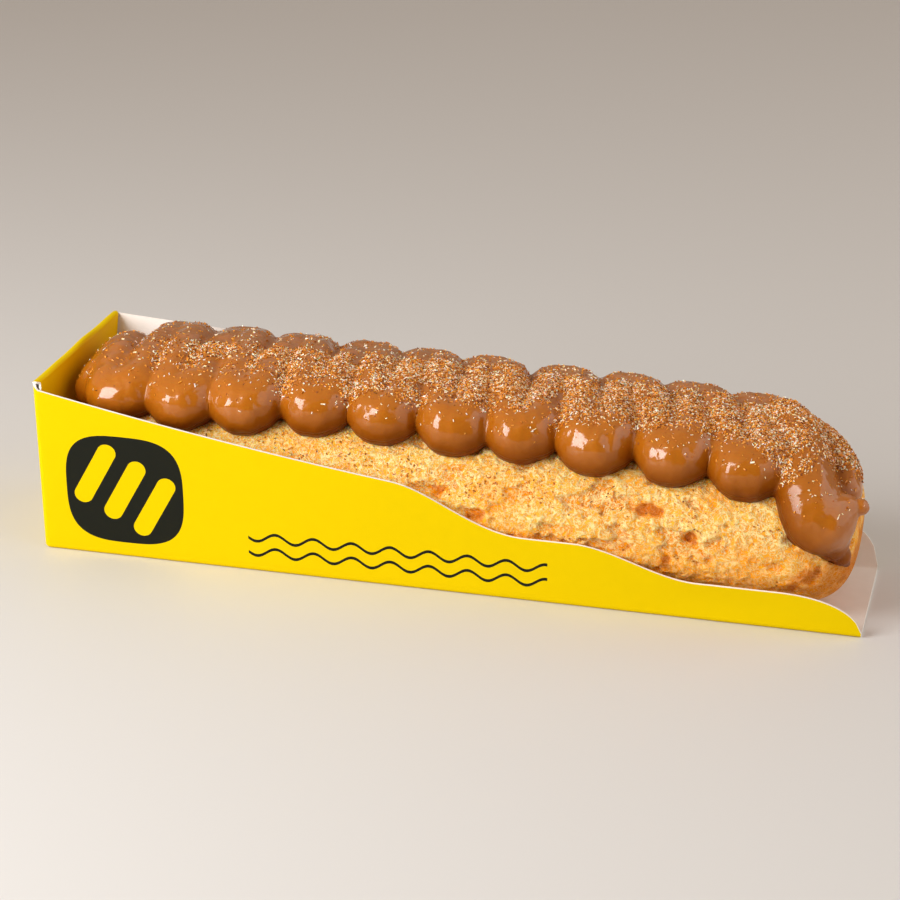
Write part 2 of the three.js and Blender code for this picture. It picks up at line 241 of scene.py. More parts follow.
def printedCard():
    p = cardPrint
    badge, bars, waves = p["badge"], p["bars"], p["waves"]
    turn = math.radians(bars["turn"])
    material, tree, shader = newMaterial("coatedBoardPrinted")
    sheet = addNode(tree, "ShaderNodeAttribute", {"attribute_name": "sheet"})
    place = addNode(tree, "ShaderNodeSeparateXYZ", inputs={0: sheet.outputs["Vector"]})
    known = dict(zip(("along", "up", "side"), place.outputs))

    # Each step names its result, the operation and its terms: numbers or earlier results
    steps = [
        # Rounded square
        ("fromX", "SUBTRACT", "along", badge["x"]),
        ("fromUp", "SUBTRACT", "up", badge["height"]),
        ("sizeX", "ABSOLUTE", "fromX"),
        ("sizeUp", "ABSOLUTE", "fromUp"),
        ("powerX", "POWER", "sizeX", badge["power"]),
        ("powerUp", "POWER", "sizeUp", badge["power"]),
        ("reach", "ADD", "powerX", "powerUp"),
        ("inBadge", "LESS_THAN", "reach", badge["half"] ** badge["power"]),
        # Three bars, by the distance to the nearest one's middle line
        ("alongX", "MULTIPLY", "fromX", math.cos(turn)),
        ("lengthwise", "MULTIPLY_ADD", "fromUp", math.sin(turn), "alongX"),
        ("acrossX", "MULTIPLY", "fromX", math.sin(turn)),
        ("crosswise", "MULTIPLY_ADD", "fromUp", -math.cos(turn), "acrossX"),
        ("spaces", "DIVIDE", "crosswise", bars["spacing"]),
        ("nearest", "ROUND", "spaces"),
        ("notBelow", "MAXIMUM", "nearest", -1.0),
        ("barNumber", "MINIMUM", "notBelow", 1.0),
        ("offBar", "MULTIPLY_ADD", "barNumber", -bars["spacing"], "crosswise"),
        ("fromMiddle", "ABSOLUTE", "lengthwise"),
        ("overEnd", "SUBTRACT", "fromMiddle", bars["length"] / 2),
        ("pastEnd", "MAXIMUM", "overEnd", 0.0),
        ("pastSquare", "MULTIPLY", "pastEnd", "pastEnd"),
        ("barSquare", "MULTIPLY_ADD", "offBar", "offBar", "pastSquare"),
        ("offBars", "GREATER_THAN", "barSquare", bars["radius"] ** 2),
        ("badgeInk", "MULTIPLY", "inBadge", "offBars"),
        # Two wavy strokes
        ("phase", "MULTIPLY", "along", 2 * math.pi / waves["length"]),
        ("wave", "SINE", "phase"),
        ("level", "MULTIPLY_ADD", "wave", -waves["rise"], "up"),
        ("nearLow", "COMPARE", "level", waves["low"], waves["thickness"] / 2),
        ("nearHigh", "COMPARE", "level", waves["high"], waves["thickness"] / 2),
        ("strokes", "MAXIMUM", "nearLow", "nearHigh"),
        ("afterStart", "GREATER_THAN", "along", waves["from"]),
        ("beforeEnd", "LESS_THAN", "along", waves["to"]),
        ("started", "MULTIPLY", "strokes", "afterStart"),
        ("waveInk", "MULTIPLY", "started", "beforeEnd"),
        ("drawing", "MAXIMUM", "badgeInk", "waveInk"),
        ("onFront", "LESS_THAN", "side", -0.5),
        ("ink", "MULTIPLY", "drawing", "onFront"),
        # The folded-in panel of the end wall, coloured a warmer yellow as painted shade
        ("overRoll", "SUBTRACT", "along", p["panelFrom"]),
        ("turnedIn", "MINIMUM", "overRoll", 1.0),
        ("inward", "MAXIMUM", "turnedIn", 0.0),
        ("offFloor", "GREATER_THAN", "up", 1.0),
        ("raised", "MULTIPLY", "inward", "offFloor"),
        ("onEnd", "COMPARE", "side", 0.0, 0.5),
        ("panel", "MULTIPLY", "raised", "onEnd"),
    ]
    for name, operation, *terms in steps:
        inputs = {k: known.get(term, term) for k, term in enumerate(terms)}
        known[name] = addNode(tree, "ShaderNodeMath", {"operation": operation}, inputs).outputs[0]

    place = addNode(tree, "ShaderNodeTexCoord")
    mottle = addNode(tree, "ShaderNodeTexNoise", inputs={
        "Vector": place.outputs["Object"], "Scale": 1 / (p["mottleMm"] * mm), "Detail": 4.0,
    })
    fibre = addNode(tree, "ShaderNodeTexNoise", inputs={
        "Vector": place.outputs["Object"], "Scale": 1 / (p["fibreMm"] * mm), "Detail": 2.0,
    })
    ground = addNode(tree, "ShaderNodeMix", {"data_type": "RGBA"}, {
        0: known["panel"], 6: linear(p["yellow"]), 7: linear(p["panel"]),
    }).outputs[2]
    colour = addNode(tree, "ShaderNodeMix", {"data_type": "RGBA"}, {
        0: known["ink"], 6: ground, 7: linear(p["ink"]),
    })
    shade = addNode(tree, "ShaderNodeMapRange", inputs={0: mottle, 3: 0.98, 4: 1.02})
    toned = addNode(tree, "ShaderNodeVectorMath", {"operation": "SCALE"}, {
        0: colour.outputs[2], "Scale": shade.outputs[0],
    })
    gloss = addNode(tree, "ShaderNodeMapRange", inputs={0: mottle, 3: 0.46, 4: 0.54})
    bump = addNode(tree, "ShaderNodeBump", inputs={
        "Height": fibre, "Strength": 0.12, "Distance": 0.05 * mm,
    })
    tree.links.new(toned.outputs[0], shader.inputs["Base Color"])
    tree.links.new(gloss.outputs[0], shader.inputs["Roughness"])
    tree.links.new(bump.outputs[0], shader.inputs["Normal"])
    setShader(shader, {"IOR": 1.46, "Specular IOR Level": 0.04})
    return material


# Bare sulphate board: matt, nearly white, with a faint warm cast and short fibres
bareCard = {"light": "#F6F1EB", "dark": "#EBE3DA", "fibreMm": 0.6, "mottleMm": 5.0}


def bareBoard(name, colours):
    material, tree, shader = newMaterial(name)
    place = addNode(tree, "ShaderNodeTexCoord")
    fibre = addNode(tree, "ShaderNodeTexNoise", inputs={
        "Vector": place.outputs["Object"], "Scale": 1 / (bareCard["fibreMm"] * mm), "Detail": 3.0,
    })
    mottle = addNode(tree, "ShaderNodeTexNoise", inputs={
        "Vector": place.outputs["Object"], "Scale": 1 / (bareCard["mottleMm"] * mm), "Detail": 3.0,
    })
    colour = addNode(tree, "ShaderNodeMix", {"data_type": "RGBA"}, {
        0: mottle, 6: linear(colours[0]), 7: linear(colours[1]),
    })
    bump = addNode(tree, "ShaderNodeBump", inputs={
        "Height": fibre, "Strength": 0.2, "Distance": 0.05 * mm,
    })
    tree.links.new(colour.outputs[2], shader.inputs["Base Color"])
    tree.links.new(bump.outputs[0], shader.inputs["Normal"])
    setShader(shader, {"Roughness": 0.82, "IOR": 1.4})
    return material


# Baked choux crust: dry, torn and matt. Pale threads of crumb, curled and a fraction of a
# millimetre wide, lie over gold and orange; the foot and the torn pits are orange-brown and dark
# pores stand here and there. Hollows and dents are coloured a darker orange as painted shade.
# Light goes a little way in and comes out warm.
crust = {
    "thread": "#FFECB0",
    "gold": "#FFC046",
    "orange": "#F8AC30",
    # Darker orange for hollows and dents: painted shade
    "shadedHollow": "#EA9216",
    "amber": "#FF9E08",
    "brown": "#C05E00",
    "pore": "#A44C00",
    "threadMm": 1.5,
    "curlMm": 0.75,
    "patchMm": 5.0,
    "poreMm": 3.2,
}


def bakedCrust():
    c = crust
    material, tree, shader = newMaterial("bakedChouxCrust")
    place = addNode(tree, "ShaderNodeTexCoord")
    brown = addNode(tree, "ShaderNodeAttribute", {"attribute_name": "brown"})
    shadedHollow = addNode(tree, "ShaderNodeAttribute", {"attribute_name": "shadedHollow"})
    patch = addNode(tree, "ShaderNodeTexNoise", inputs={
        "Vector": place.outputs["Object"], "Scale": 1 / (c["patchMm"] * mm), "Detail": 5.0,
    })
    broad = addNode(tree, "ShaderNodeMapRange", inputs={0: patch, 1: 0.34, 2: 0.62})
    base = addNode(tree, "ShaderNodeMix", {"data_type": "RGBA"}, {
        0: broad.outputs[0], 6: linear(c["orange"]), 7: linear(c["gold"]),
    })
    # Painted shade: a darker orange where the hollows and dents lie
    dim = addNode(tree, "ShaderNodeMix", {"data_type": "RGBA"}, {
        0: shadedHollow.outputs["Fac"], 6: base.outputs[2], 7: linear(c["shadedHollow"]),
    })
    browned = addNode(tree, "ShaderNodeMix", {"data_type": "RGBA"}, {
        0: addNode(tree, "ShaderNodeMapRange", inputs={0: brown.outputs["Fac"], 2: 0.65}),
        6: dim.outputs[2], 7: linear(c["amber"]),
    })
    torn = addNode(tree, "ShaderNodeMix", {"data_type": "RGBA"}, {
        0: addNode(tree, "ShaderNodeMapRange", inputs={0: brown.outputs["Fac"], 1: 0.6, 2: 1.1}),
        6: browned.outputs[2], 7: linear(c["brown"]),
    })

    # Threads: the lines along which a curled noise crosses its middle value, at two sizes
    ridges = []
    for size, width in ((c["threadMm"], 0.075), (c["curlMm"], 0.085)):
        curls = addNode(tree, "ShaderNodeTexNoise", inputs={
            "Vector": place.outputs["Object"], "Scale": 1 / (size * mm), "Detail": 1.0,
            "Distortion": 0.9,
        })
        off = addNode(tree, "ShaderNodeMath", {"operation": "SUBTRACT"}, {0: curls, 1: 0.5})
        size = addNode(tree, "ShaderNodeMath", {"operation": "ABSOLUTE"}, {0: off})
        ridges.append(addNode(tree, "ShaderNodeMapRange", {"interpolation_type": "SMOOTHSTEP"}, {
            0: size, 1: 0.0, 2: width, 3: 1.0, 4: 0.0,
        }))
    threads = addNode(tree, "ShaderNodeMath", {"operation": "MAXIMUM"}, {
        0: ridges[0].outputs[0], 1: ridges[1].outputs[0],
    })
    bare = addNode(tree, "ShaderNodeMapRange", inputs={0: brown.outputs["Fac"], 3: 0.8, 4: 0.15})
    amount = addNode(tree, "ShaderNodeMath", {"operation": "MULTIPLY"}, {0: threads, 1: bare.outputs[0]})
    threaded = addNode(tree, "ShaderNodeMix", {"data_type": "RGBA"}, {
        0: amount, 6: torn.outputs[2], 7: linear(c["thread"]),
    })
    cells = addNode(tree, "ShaderNodeTexVoronoi", inputs={
        "Vector": place.outputs["Object"], "Scale": 1 / (c["poreMm"] * mm),
    })
    pores = addNode(tree, "ShaderNodeMapRange", {"interpolation_type": "SMOOTHSTEP"}, {
        0: cells.outputs["Distance"], 1: 0.05, 2: 0.12, 3: 0.85, 4: 0.0,
    })
    pored = addNode(tree, "ShaderNodeMix", {"data_type": "RGBA"}, {
        0: pores.outputs[0], 6: threaded.outputs[2], 7: linear(c["pore"]),
    })
    height = addNode(tree, "ShaderNodeMath", {"operation": "SUBTRACT"}, {
        0: threads, 1: pores.outputs[0],
    })
    bump = addNode(tree, "ShaderNodeBump", inputs={
        "Height": height, "Strength": 0.8, "Distance": 0.15 * mm,
    })
    tree.links.new(pored.outputs[2], shader.inputs["Base Color"])
    tree.links.new(bump.outputs[0], shader.inputs["Normal"])
    setShader(shader, {
        "Roughness": 0.7, "IOR": 1.4, "Specular IOR Level": 0.12, "Subsurface Weight": 0.4,
        "Subsurface Scale": 0.3 * mm, "Subsurface Radius": (1.0, 0.5, 0.15),
    })
    return material


# Piped milk caramel: a smooth, thick sugar gel. A soft sheen under a wet skin gives sharp
# highlights in a pale veil, and light goes a millimetre or so in, so the lobes look soft. Their
# colour turns darker and a deeper orange-brown towards their lower edges as painted shade. A fine
# line runs along each lobe just above its foot.
caramel = {
    "body": "#B0640E",
    # The colour of the painted shade at the lobes' lower edges
    "edge": "#6A2C00",
    "stain": "#B26812",
    "rippleMm": 2.6,
    "dimpleMm": 1.1,
    "lineHeightMm": 2.2,
    "lineWidthMm": 0.35,
    "lineDepthMm": 0.12,
}


def pipedCaramel():
    c = caramel
    material, tree, shader = newMaterial("pipedMilkCaramel")
    place = addNode(tree, "ShaderNodeTexCoord")
    sugar = addNode(tree, "ShaderNodeAttribute", {"attribute_name": "sugar"})
    rise = addNode(tree, "ShaderNodeAttribute", {"attribute_name": "rise"})
    ripple = addNode(tree, "ShaderNodeTexNoise", inputs={
        "Vector": place.outputs["Object"], "Scale": 1 / (c["rippleMm"] * mm), "Detail": 1.0,
    })
    dimple = addNode(tree, "ShaderNodeTexNoise", inputs={
        "Vector": place.outputs["Object"], "Scale": 1 / (c["dimpleMm"] * mm), "Detail": 1.0,
    })
    # Painted shade: darker and deeper orange from 10 mm of rise down to the lobe's foot
    edge = addNode(tree, "ShaderNodeMapRange", {"interpolation_type": "SMOOTHSTEP"}, {
        0: rise.outputs["Fac"], 1: 0.0, 2: 10.0, 3: 1.0, 4: 0.0,
    })
    footShaded = addNode(tree, "ShaderNodeMix", {"data_type": "RGBA"}, {
        0: edge.outputs[0], 6: linear(c["body"]), 7: linear(c["edge"]),
    })
    stained = addNode(tree, "ShaderNodeMix", {"data_type": "RGBA"}, {
        0: sugar.outputs["Fac"], 6: footShaded.outputs[2], 7: linear(c["stain"]),
    })
    gloss = addNode(tree, "ShaderNodeMapRange", inputs={0: sugar.outputs["Fac"], 3: 0.4, 4: 0.6})
    offLine = addNode(tree, "ShaderNodeMath", {"operation": "SUBTRACT"}, {
        0: rise.outputs["Fac"], 1: c["lineHeightMm"],
    })
    line = addNode(tree, "ShaderNodeMapRange", {"interpolation_type": "SMOOTHSTEP"}, {
        0: addNode(tree, "ShaderNodeMath", {"operation": "ABSOLUTE"}, {0: offLine}),
        1: 0.0, 2: c["lineWidthMm"], 3: 0.0, 4: 1.0,
    })
    groove = addNode(tree, "ShaderNodeBump", inputs={
        "Height": line.outputs[0], "Strength": 1.0, "Distance": c["lineDepthMm"] * mm,
    })
    broad = addNode(tree, "ShaderNodeBump", inputs={
        "Height": ripple, "Strength": 0.55, "Distance": 0.5 * mm, "Normal": groove,
    })
    bump = addNode(tree, "ShaderNodeBump", inputs={
        "Height": dimple, "Strength": 0.15, "Distance": 0.2 * mm, "Normal": broad,
    })
    tree.links.new(stained.outputs[2], shader.inputs["Base Color"])
    film = addNode(tree, "ShaderNodeMapRange", inputs={
        0: rise.outputs["Fac"], 1: 4.5, 2: 8.5, 3: 0.08, 4: 1.0,
    })
    tree.links.new(film.outputs[0], shader.inputs["Coat Weight"])
    tree.links.new(gloss.outputs[0], shader.inputs["Roughness"])
    tree.links.new(bump.outputs[0], shader.inputs["Normal"])
    tree.links.new(bump.outputs[0], shader.inputs["Coat Normal"])
    setShader(shader, {
        "IOR": 1.47, "Specular IOR Level": 0.18, "Specular Tint": (1.0, 0.7, 0.4, 1.0),
        "Subsurface Weight": 0.2,
        "Subsurface Scale": 1.0 * mm, "Subsurface Radius": (1.0, 0.45, 0.15),
        "Coat Roughness": 0.11, "Coat IOR": 1.55,
    })
    return material


# Sugar crystals and ground cinnamon: clear-edged grains, the white ones bright and the
# brown ones coated in spice
grainKinds = {
    "sugarWhite": {"light": "#FFFAEC", "dark": "#FFDCA6", "roughness": 0.3, "subsurface": 0.3},
    "sugarCinnamon": {"light": "#F4A232", "dark": "#B8680C", "roughness": 0.5, "subsurface": 0.2},
    "cinnamonDark": {"light": "#9A5218", "dark": "#6E3810", "roughness": 0.7, "subsurface": 0.0},
}


def grainMaterial(name):
    kind = grainKinds[name]
    material, tree, shader = newMaterial(name)
    place = addNode(tree, "ShaderNodeTexCoord")
    noise = addNode(tree, "ShaderNodeTexNoise", inputs={
        "Vector": place.outputs["Object"], "Scale": 1 / (0.8 * mm), "Detail": 0.0,
    })
    spread = addNode(tree, "ShaderNodeMapRange", inputs={0: noise, 1: 0.35, 2: 0.65})
    colour = addNode(tree, "ShaderNodeMix", {"data_type": "RGBA"}, {
        0: spread.outputs[0], 6: linear(kind["light"]), 7: linear(kind["dark"]),
    })
    tree.links.new(colour.outputs[2], shader.inputs["Base Color"])
    setShader(shader, {
        "Roughness": kind["roughness"], "IOR": 1.5, "Subsurface Weight": kind["subsurface"],
        "Subsurface Scale": 0.3 * mm,
    })
    return material


print("materials")
printedMaterial = printedCard()
insideMaterial = bareBoard("bareBoardInside", (bareCard["light"], bareCard["dark"]))
cutMaterial = bareBoard("bareBoardCutEdge", ("#FFFDF8", "#F8F2EA"))
crustMaterial = bakedCrust()
caramelMaterial = pipedCaramel()
grainMaterials = {name: grainMaterial(name) for name in grainKinds}

# Case

case = {
    "length": 180, "floorWidth": 41, "floorSpread": 19.8,
    "cardThickness": 0.5, "foldRadius": 0.9, "cornerRadius": 1.3,
    "wallHeight": 39, "wallLean": 7, "wallBow": 0.25, "wallBows": 3,
    "endHeight": 41.2,
    "rollRadius": 0.9, "rollSag": 0.25, "rollWobbles": [(0.175, 4.2, 0.9), (0.125, 9.1, 0.0)],
    "panelSideGap": 0.5, "panelFootGap": 0.5, "panelBulge": 0.5,
    "steps": {
        "along": 136, "openCorner": 25, "corner": 8, "end": 25, "fold": 7, "wall": 15, "roll": 13,
        "panel": 13,
    },
}
cutLine = {
    "slope": {"length": 78, "height": 25.6, "sag": 0.8},
    "steps": [(79, 108, 15.1), (118, 145, 8.7)],
    "cornerLength": 18, "cornerPower": 2.15,
    "back": {"height": 40.6, "fall": 0.055, "fade": (56, 124), "above": 1.5, "cornerLength": 10.5},
}
leanPerHeight = case["wallLean"] / case["wallHeight"]


# Share of a wall's height that its rounded corner at the open end leaves
def cornerShare(x, length):
    power = cutLine["cornerPower"]
    past = np.clip((x - case["length"] + length) / length, 0, 1)
    return (1 - past ** power) ** (1 / power)


# Height of the long walls' wavy cut: a sagging slope and two smooth steps down
def cutHeight(x):
    slope = cutLine["slope"]
    t = x / slope["length"]
    height = mix(case["wallHeight"], slope["height"], t) - 4 * slope["sag"] * t * (1 - t)
    for start, end, low in cutLine["steps"]:
        height = mix(height, low, fade(start, end, x))
    return height


# The back wall stays almost level from the closed end and then comes down to just above the
# front wall's cut
def backHeight(x):
    back = cutLine["back"]
    tall = back["height"] - back["fall"] * x
    return mix(tall, cutHeight(x) + back["above"], fade(*back["fade"], x))


# The sheet's outer face. One parameter runs along the foot of the walls, from the back wall's
# open end round the closed end to the front wall's; the other runs from the floor's middle line
# through the fold and up the wall. The end wall goes on over the roll and down inside.
def caseSheet():
    half, corner, fold = case["floorWidth"] / 2, case["cornerRadius"], case["foldRadius"]
    length, rollRadius, steps = case["length"], case["rollRadius"], case["steps"]
    frontCorner, backCorner = cutLine["cornerLength"], cutLine["back"]["cornerLength"]
    rounding = np.cos(np.linspace(0, math.pi / 2, steps["openCorner"])[1:])
    straight = np.linspace(corner, length - frontCorner, steps["along"])
    wallX = np.concatenate([straight, length - frontCorner * rounding])
    arc = np.linspace(0, math.pi / 2, steps["corner"])[1:-1]
    acrossEnd = np.linspace(1, -1, steps["end"])

    least = 2 * case["cardThickness"]
    front = np.maximum(cutHeight(wallX) * cornerShare(wallX, frontCorner), least)
    back = np.maximum(backHeight(wallX) * cornerShare(wallX, backCorner), least)
    endTop = case["endHeight"] - rollRadius
    turned = arc / (math.pi / 2)
    sine, cosine = np.sin(arc), np.cos(arc)

    # Each wall and corner: its foot's x and y, its outward direction's x and y, which way it
    # leans and how high it goes
    cornerX, cornerY = corner - corner * sine, half - corner + corner * cosine
    walls = [
        (wallX[::-1], half, 0, 1, 1, back[::-1]),
        (cornerX, cornerY, -sine, cosine, 1, mix(back[0], endTop, turned)),
        (0, acrossEnd * (half - corner), -1, 0, acrossEnd, endTop),
        (cornerX[::-1], -cornerY[::-1], -sine[::-1], -cosine[::-1], -1, mix(endTop, front[0], turned)),
        (wallX, -half, 0, -1, -1, front),
    ]
    walls = np.concatenate([np.stack(np.broadcast_arrays(*wall)) for wall in walls], axis=1)
    footX, footY, outX, outY, lean, top = walls

    middleX = np.maximum(footX, case["floorSpread"])
    t = np.array([0, 0.4, 0.8])[:, None]
    floor = pointsAt(mix(middleX, footX - outX * fold, t), (footY - outY * fold) * t, 0)
    turn = np.linspace(0, math.pi / 2, steps["fold"])[:, None]
    height, inset = fold * (1 - np.cos(turn)), fold * (1 - np.sin(turn))
    y = footY - outY * inset + lean * leanPerHeight * height
    folded = pointsAt(footX - outX * inset, y, height)
    t = np.linspace(0, 1, steps["wall"])[1:, None]
    height = mix(fold, top, t)
    bow = case["wallBow"] * np.sin(footX / length * case["wallBows"] * math.pi) ** 2
    inward = bow * np.sin(math.pi * t) * np.abs(lean)
    wall = pointsAt(footX, footY + lean * (leanPerHeight * height - inward), height)
    tray = np.concatenate([floor, folded, wall])

    # Roll and inner panel, on the end wall's columns only
    before = len(wallX) + len(arc)
    panelGap = case["cardThickness"] + case["panelSideGap"]
    wobble = sum(size * np.sin(acrossEnd * rate + start) for size, rate, start in case["rollWobbles"])
    turn = np.linspace(0, math.pi, steps["roll"])[1:, None]
    raised = fade(0, 1, np.sin(turn))
    height = endTop + rollRadius * np.sin(turn) + (wobble - case["rollSag"]) * raised
    width = mix(half - corner, half, fade(0, math.pi / 4, turn))
    width = width - panelGap * fade(math.pi / 2, math.pi, turn) + leanPerHeight * height
    over = pointsAt(rollRadius * (1 - np.cos(turn)), acrossEnd * width, height)
    t = np.linspace(0, 1, steps["panel"])[1:, None]
    height = mix(endTop, case["cardThickness"] + case["panelFootGap"], t)
    bulge = case["panelBulge"] * np.sin(math.pi * t) * (1 - acrossEnd ** 2)
    across = acrossEnd * (half - panelGap + leanPerHeight * height)
    inside = pointsAt(2 * rollRadius + bulge, across, height)
    roll = np.concatenate([tray[-1:, before:before + len(acrossEnd)], over, inside])

    # Where each point lies on the printed sheet: along, up the wall, and which long wall
    points = np.concatenate([tray.reshape(-1, 3), roll.reshape(-1, 3)])
    traySide = np.broadcast_to(lean * (outX == 0), tray.shape[:2])
    side = np.concatenate([traySide.ravel(), np.zeros(roll[..., 0].size)])
    sheet = pointsAt(points[:, 0], points[:, 2] * math.hypot(1, leanPerHeight), side)
    faces = np.concatenate([gridFaces(*tray.shape[:2]), gridFaces(*roll.shape[:2]) + tray[..., 0].size])
    return points - np.array([length / 2, 0, 0]), faces, sheet


def buildCase():
    points, faces, sheet = caseSheet()
    materials = [printedMaterial, insideMaterial, cutMaterial]
    piece = makePiece("foldedCase", points, [faces], materials, ["card_case"])
    addAttribute(piece, "sheet", sheet)
    weld = piece.modifiers.new("joinSeams", "WELD")
    weld.merge_threshold = 0.01 * mm
    card = piece.modifiers.new("cardThickness", "SOLIDIFY")
    card.thickness = case["cardThickness"] * mm
    card.offset = -1
    card.use_even_offset = True
    card.material_offset = 1
    card.material_offset_rim = 2
    applyModifiers(piece)
    piece.data.set_sharp_from_angle(angle=math.radians(40))


print("case")
buildCase()

# Baton

baton = {
    "start": 4.6, "end": 177.2,
    "halfWidth": 22.5, "centre": 20, "foot": 0.8, "sectionPower": 2.35,
    "top": (36.9, 33.4), "topFade": (20, 165),
    "endLength": 20, "endPower": (2.5, 3.4), "powerFade": (60, 120),
    "steps": {"cap": 52, "middle": 318, "around": 232},
}
# Relief of the crust: depths and distances in millimetres, angles from the top in degrees, and
# the values between which a noise or a distance fades in
crumb = {
    "waves": 0.5,
    "hollows": 1.0, "hollowFade": (0.55, 0.66), "hollowStretch": (0.8, 1, 1.25),
    "lace": 0.3, "laceFade": (0.02, 0.16),
    "dimples": 0.25, "dimpleCells": (2.6, 23), "dimpleFade": (0.12, 0.34),
    "pitRagged": 4.5, "pitBrown": (0.1, 1.6),
    "openFade": (60, 130), "openRagged": 12, "leastOpen": 0.4,
    "floorFade": (125, 150), "endFade": (0, 1.5),
    "brownRagged": 22,
    "footFade": (88, 120), "tipFade": (166, 177), "patchFade": (0.56, 0.72),
    "footBrown": 0.6, "tipBrown": 0.4, "patchBrown": 0.45, "dimpleShade": 0.5, "laceShade": 0.35,
}
# Size in millimetres, seed and octaves of the crust's noises
crumbNoise = {
    "open": (9, 5, 3),
    "hollows": (4.4, 13, 4),
    "lace": (2.2, 41, 2),
    "waves": (8, 71, 2),
    "pits": (2.0, 83, 4),
    "brown": (4, 91, 3),
    "patches": (6, 97, 3),
}
# Torn pits: distance from the closed end, angle down from the top, radius, depth and how much
# longer they are than wide
pits = np.array([
    (89, 82, 2.6, 1.3, 1.3),
    (134.2, 80, 3.2, 1.9, 1.5),
    (143.2, 94, 3.3, 1.6, 0.7),
    (96, 93, 2.2, 1.2, 1.4),
    (62, -80, 3.2, 1.5, 1.4),
    (118, -88, 2.8, 1.4, 0.8),
])


# Share of the section left round the two blunt ends, which are blunter towards the foot
def sectionScale(x, angle):
    past = np.clip(1 - np.minimum(x - baton["start"], baton["end"] - x) / baton["endLength"], 0, 1)
    power = mix(*baton["endPower"], fade(*baton["powerFade"], np.abs(np.degrees(angle))))
    return np.clip(1 - past ** power, 0, 1) ** (1 / power)


# Radius of the section at an angle from the top, a rounded box that shrinks towards both ends
def sectionRadius(x, angle):
    top = mix(*baton["top"], fade(*baton["topFade"], x))
    reach = np.where(np.cos(angle) > 0, top - baton["centre"], baton["centre"] - baton["foot"])
    power = baton["sectionPower"]
    across = np.abs(np.sin(angle) / baton["halfWidth"]) ** power
    along = np.abs(np.cos(angle) / reach) ** power
    return sectionScale(x, angle) * (across + along) ** (-1 / power)


# Point of the smooth baton at a distance from the closed end and an angle from the top,
# positive towards the front wall
def batonPoint(x, angle):
    radius = sectionRadius(x, angle)
    height = baton["centre"] + radius * np.cos(angle)
    return pointsAt(x - case["length"] / 2, -radius * np.sin(angle), height)


# Outward unit vectors of a grid of points, from the differences between its neighbours
def gridNormals(points):
    along = np.gradient(points, axis=0)
    around = (np.roll(points, -1, axis=1) - np.roll(points, 1, axis=1)) / 2
    return unit(np.cross(around, along))


# Angles round the baton, close together where the crust shows and wide apart where it doesn't
def crustAngles(count):
    angle = np.linspace(-180, 180, 721)
    spacing = 0.9 + 3.2 * (1 - fade(20, 42, np.abs(angle))) + 0.35 * (angle < 0)
    spacing = spacing + 5.0 * fade(135, 150, np.abs(angle))
    passed = np.concatenate([[0], np.cumsum(1 / (spacing[1:] + spacing[:-1]))])
    wanted = np.arange(count) / count * passed[-1]
    return np.radians(np.interp(wanted, passed, angle))


def buildBaton():
    b, c, steps = baton, crumb, baton["steps"]
    turn = np.arange(1, steps["cap"] + 1) / steps["cap"] * math.pi / 2
    cap = b["start"] + b["endLength"] * (1 - np.cos(turn) ** (2 / b["endPower"][0]))
    mirrored = (b["start"] + b["end"] - cap)[::-1]
    middle = np.linspace(cap[-1], mirrored[0], steps["middle"] + 1)[1:-1]
    x = np.concatenate([cap, middle, mirrored])[:, None]
    angle = crustAngles(steps["around"])[None, :]
    smooth = batonPoint(x, angle)
    normal = gridNormals(smooth)

    def noise(name, stretch=1):
        return layeredNoise(smooth * np.array(stretch), *crumbNoise[name])

    # Open, ragged crumb towards the open end, a closer skin towards the closed end
    openness = fade(*c["openFade"], x + c["openRagged"] * noise("open"))
    openness = mix(c["leastOpen"], 1, openness)
    shadedHollow = fade(*c["hollowFade"], noise("hollows", c["hollowStretch"])) * openness
    lace = fade(*c["laceFade"], np.abs(noise("lace") - 0.5))
    dimple = 1 - fade(*c["dimpleFade"], nearestSpot(smooth, *c["dimpleCells"]))
    dent = c["waves"] * (noise("waves") - 0.2) + c["hollows"] * shadedHollow
    dent = dent + (c["lace"] * lace + c["dimples"] * dimple) * openness
    torn = 0
    ragged = c["pitRagged"] * (noise("pits") - 0.5)
    for pitX, pitAngle, radius, depth, stretch in pits:
        around = b["halfWidth"] * (angle - math.radians(pitAngle))
        away = np.hypot((x - pitX) / stretch, around) + ragged
        torn = torn + depth * (1 - fade(0.1 * radius, radius, away))
    degrees = np.abs(np.degrees(angle))
    nearEnd = fade(*c["endFade"], np.minimum(x - b["start"], b["end"] - x))
    dent = (dent + torn) * (1 - fade(*c["floorFade"], degrees)) * nearEnd
    points = smooth - normal * dent[..., None]

    # Browner in the pits, along the foot and at the open end, and in a few patches
    uneven = c["brownRagged"] * (noise("brown") - 0.5)
    brown = fade(*c["pitBrown"], torn)
    brown = brown + c["footBrown"] * fade(*c["footFade"], degrees + uneven)
    brown = brown + c["tipBrown"] * fade(*c["tipFade"], x + 0.4 * uneven)
    brown = brown + c["patchBrown"] * fade(*c["patchFade"], noise("patches"))
    # Painted shade: hollows, and dimples and lace where the crumb is open, are marked for a darker
    # orange
    shadedHollow = shadedHollow + (c["dimpleShade"] * dimple + c["laceShade"] * lace) * openness

    ends = np.array([b["start"], b["end"]]) - case["length"] / 2
    flat = np.concatenate([points.reshape(-1, 3), pointsAt(ends, 0, b["centre"])])
    faces = tubeFaces(*points.shape[:2])
    piece = makePiece("bakedBaton", flat, faces, [crustMaterial], ["baton"])
    addAttribute(piece, "brown", np.append(np.clip(brown, 0, 1), [0.6, 0.3]))
    addAttribute(piece, "shadedHollow", np.append(np.clip(shadedHollow, 0, 1), [0, 0]))
    return piece


print("baton")
bakedBaton = buildBaton()

# Caramel

